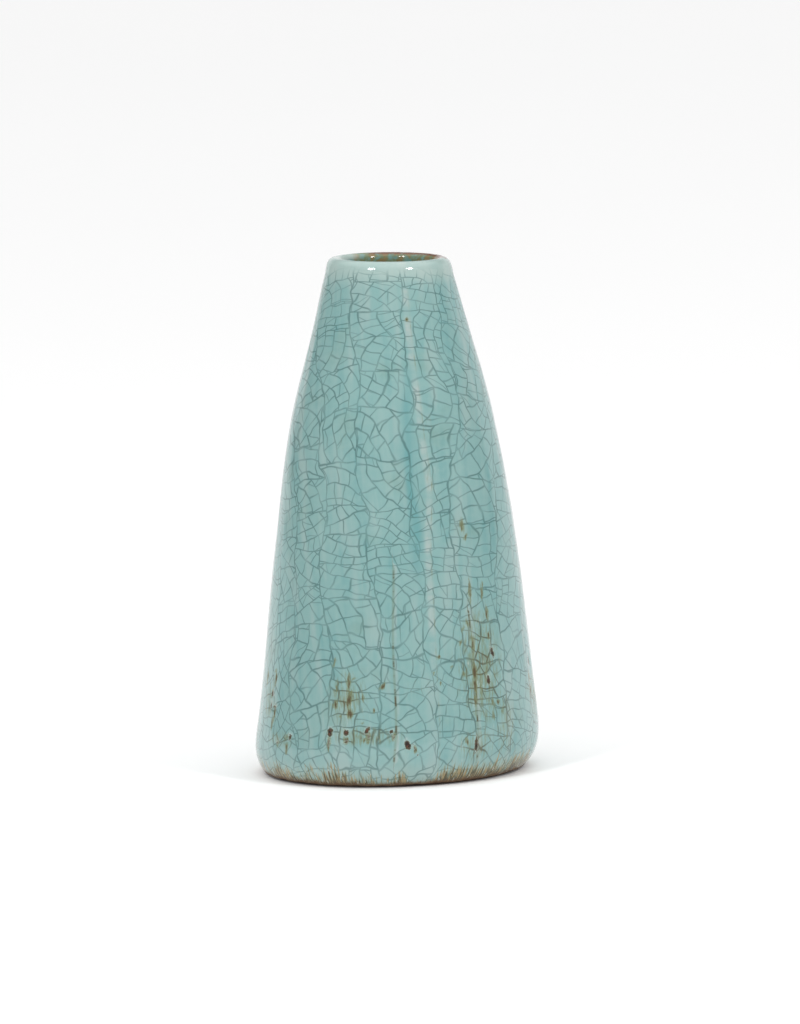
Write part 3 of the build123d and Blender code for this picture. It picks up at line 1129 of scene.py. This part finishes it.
class MakeSlip(VaseOperator, bpy.types.Operator):
    """Lay the slip in the seams and round the floor disc"""

    bl_idname = "bud_vase.slip"
    bl_label = "Joint slip"

    def make(self):
        slip = clay_material("joint slip", JOINT_SLIP, 0.1 * MM)
        bm = clay_wall()
        for side in (1, -1):
            cut_flat(bm, side * SEAM_SLIP / 2, -side)
        finished(bm, "seam_strips", slip, "slip", "seam_slip")

        build = settings().build
        bm = turned(outline("floor_slip", even(0.08 * MM), even(0.8 * MM)), build.clay_turns)
        self.squeeze(bm)
        reshape(bm)
        finished(bm, "floor_bead", slip, "slip", "floor_slip")

    def squeeze(self, bm):
        """Swells the slip that was pressed out under the disc into a bead inside the foot ring."""
        low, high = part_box("floor_slip")[0].z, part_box("clay_floor")[0].z
        inside = min(vert.co.xy.length for vert in bm.verts)
        for vert in bm.verts:
            radius = vert.co.xy.length
            if radius > inside + WELD or vert.co.z > high:
                continue
            up = (vert.co.z - low) / (high - low)
            round_bead = (max(4 * up * (1 - up), 0)) ** 0.5
            fullness = 1.0 + 0.5 * noise.noise(vert.co / (7 * MM))
            vert.co.xy *= (radius - BEAD_BULGE * round_bead * fullness) / radius
            vert.co.z = high - BEAD_HEIGHT * (1 - up)


class MakeFloor(VaseOperator, bpy.types.Operator):
    """Cut the floor disc"""

    bl_idname = "bud_vase.floor"
    bl_label = "Floor disc"

    def make(self):
        clay = clay_material("floor clay", CLAY, 0.15 * MM)
        build = settings().build
        step = even(build.clay_ring)
        bm = turned(outline("clay_floor", step, step), build.clay_turns)
        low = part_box("clay_floor")[0].z
        for vert in bm.verts:
            if vert.co.z < low + WELD:
                vert.co.z += 0.12 * MM * noise.noise(vert.co / (5 * MM))
                vert.co.z += 0.05 * MM * noise.noise(vert.co / (1.5 * MM))
        reshape(bm)
        finished(bm, "floor_disc", clay, "clay", "clay_floor")


class MakeCrackleGlaze(VaseOperator, bpy.types.Operator):
    """Pour the crackled outer glaze"""

    bl_idname = "bud_vase.crackle_glaze"
    bl_label = "Crackle glaze"

    def make(self):
        build = settings().build

        def step(height):
            return build.ring if height < build.worn_height else build.upper_ring

        points = outline("outer_glaze", step, even(build.hidden_ring))
        bm = turned(points, build.turns, build.crowd)
        wall_maps(bm)
        work_glaze(bm)
        ragged_foot(bm)
        reshape(bm)
        finished(bm, "crackle_glaze", CrackleGlaze().mixed(), "turquoise_glaze", "outer_glaze")


class MakeLining(VaseOperator, bpy.types.Operator):
    """Pour the lining glaze"""

    bl_idname = "bud_vase.lining"
    bl_label = "Lining glaze"

    def make(self):
        build = settings().build

        def step(height):
            return build.mouth_ring if height > HEIGHT - 30 * MM else build.hidden_ring / 2

        points = outline("inner_glaze", even(build.hidden_ring), step)
        bm = turned(points, build.clay_turns)
        store(bm, "rise", Wall(bm).height)
        reshape(bm)
        finished(bm, "lining_glaze", lining_material(), "lining_glaze", "inner_glaze")


class MakeFootWash(VaseOperator, bpy.types.Operator):
    """Brush the iron wash on the foot"""

    bl_idname = "bud_vase.foot_wash"
    bl_label = "Foot wash"

    def make(self):
        build = settings().build
        wash = clay_material("iron wash", IRON_WASH, 0.12 * MM)
        step = even(0.3 * MM)
        bm = turned(outline("foot_wash", step, step), build.turns)
        reshape(bm)
        finished(bm, "foot_wash_coat", wash, "iron_wash", "foot_wash")


class MakeStage(VaseOperator, bpy.types.Operator):
    """Set up the floor, the lights and the camera"""

    bl_idname = "bud_vase.stage"
    bl_label = "Stage"

    def make(self):
        stage = settings().stage
        scene = bpy.context.scene
        scene.view_settings.view_transform = "Standard"
        self.floor(stage)
        self.sky(scene)
        self.lamps()
        self.camera(scene, stage)

    def floor(self, stage):
        bm = bmesh.new()
        bmesh.ops.create_circle(bm, cap_ends=True, segments=96, radius=6.0)
        mesh = bpy.data.meshes.new("floor")
        bm.to_mesh(mesh)
        bm.free()
        recipe = Recipe(bpy.data.materials.new("pale floor"))
        cloud = recipe.between(recipe.noise(recipe.where(), 3.0, 2.0), 0.3, 0.7, 0.0, 0.03)
        tone = recipe.blend(cloud, stage.floor, (0.8, 0.8, 0.8))
        glow = {"Emission_Color": (1, 1, 1), "Emission_Strength": 0.06}
        mesh.materials.append(recipe.finish(Base_Color=tone, Roughness=0.9, **glow))
        floor = bpy.data.objects.new("floor", mesh)
        bpy.context.scene.collection.objects.link(floor)

    def sky(self, scene):
        """White walls: bright above, a dimmer band low behind the front, and dark elsewhere low."""
        recipe = Recipe(bpy.data.worlds.new("studio"), "Background")
        x, y, z = recipe.parts(recipe.where("Generated"))
        bearing = recipe.sum("ARCTAN2", x, y)
        band = recipe.times(
            recipe.between(bearing, radians(-41.5), radians(-38.5)),
            recipe.between(bearing, radians(61), radians(67), 1.0, 0.0),
            recipe.between(z, 0.22, 0.45, 0.64, 0.0),
        )
        above = recipe.between(z, 0.45, 0.9, 0.25, 1.5)
        scene.world = recipe.finish(Color=(1, 1, 1), Strength=recipe.sum("ADD", band, above))

    def lamps(self):
        for side in (-1, 1):
            light = bpy.data.lights.new("soft_box", "AREA")
            light.shape = "DISK"
            light.size = LAMP_SIZE
            light.energy = LAMP_POWER
            lamp = bpy.data.objects.new("soft_box", light)
            bearing, rise = radians(LAMP_TURN + LAMP_SPREAD * side), radians(LAMP_RISE)
            aim = Vector((sin(bearing) * cos(rise), -cos(bearing) * cos(rise), sin(rise)))
            spot = aim * LAMP_REACH
            lamp.location = spot + Vector((0, 0, HEIGHT / 2))
            lamp.rotation_euler = spot.to_track_quat("Z", "Y").to_euler()
            bpy.context.scene.collection.objects.link(lamp)

    def camera(self, scene, stage):
        lens = bpy.data.cameras.new("camera")
        lens.lens = stage.lens
        lens.sensor_width = 36
        lens.sensor_fit = "AUTO"
        lens.clip_end = 50
        camera = bpy.data.objects.new("camera", lens)
        back = Vector((0, -cos(stage.elevation), sin(stage.elevation)))
        camera.location = CAMERA_AIM + back * stage.distance
        turn = back.to_track_quat("Z", "Y")
        camera.rotation_mode = "QUATERNION"
        camera.rotation_quaternion = turn @ Quaternion((0, 0, 1), -stage.roll)
        scene.collection.objects.link(camera)
        scene.camera = camera


class BudVasePanel(bpy.types.Panel):
    """Lists the vase's operators and settings"""

    bl_idname = "VIEW3D_PT_bud_vase"
    bl_label = "Bud Vase"
    bl_space_type = "VIEW_3D"
    bl_region_type = "UI"
    bl_category = "Bud Vase"

    def draw(self, context):
        for step in STEPS:
            self.layout.operator(step.bl_idname)
        vase = context.scene.bud_vase
        for group in (vase.shape, vase.build, vase.relief, vase.glaze, vase.stage):
            box = self.layout.box()
            for name in group.__annotations__:
                box.prop(group, name)


STEPS = (
    MakeClayShells,
    MakeSlip,
    MakeFloor,
    MakeFootWash,
    MakeLining,
    MakeCrackleGlaze,
    MakeStage,
)
GROUPS = (VaseShape, MeshSteps, GlazeRelief, GlazeLook, StageLook, BudVaseSettings)


def register():
    for cls in (*GROUPS, *STEPS, BudVasePanel):
        bpy.utils.register_class(cls)
    bpy.types.Scene.bud_vase = PointerProperty(type=BudVaseSettings)


def unregister():
    del bpy.types.Scene.bud_vase
    for cls in reversed((*GROUPS, *STEPS, BudVasePanel)):
        bpy.utils.unregister_class(cls)


def main():
    register()
    bpy.ops.bud_vase.clay_shells()
    bpy.ops.bud_vase.slip()
    bpy.ops.bud_vase.floor()
    bpy.ops.bud_vase.foot_wash()
    bpy.ops.bud_vase.lining()
    bpy.ops.bud_vase.crackle_glaze()
    bpy.ops.bud_vase.stage()


if __name__ == "__main__":
    main()
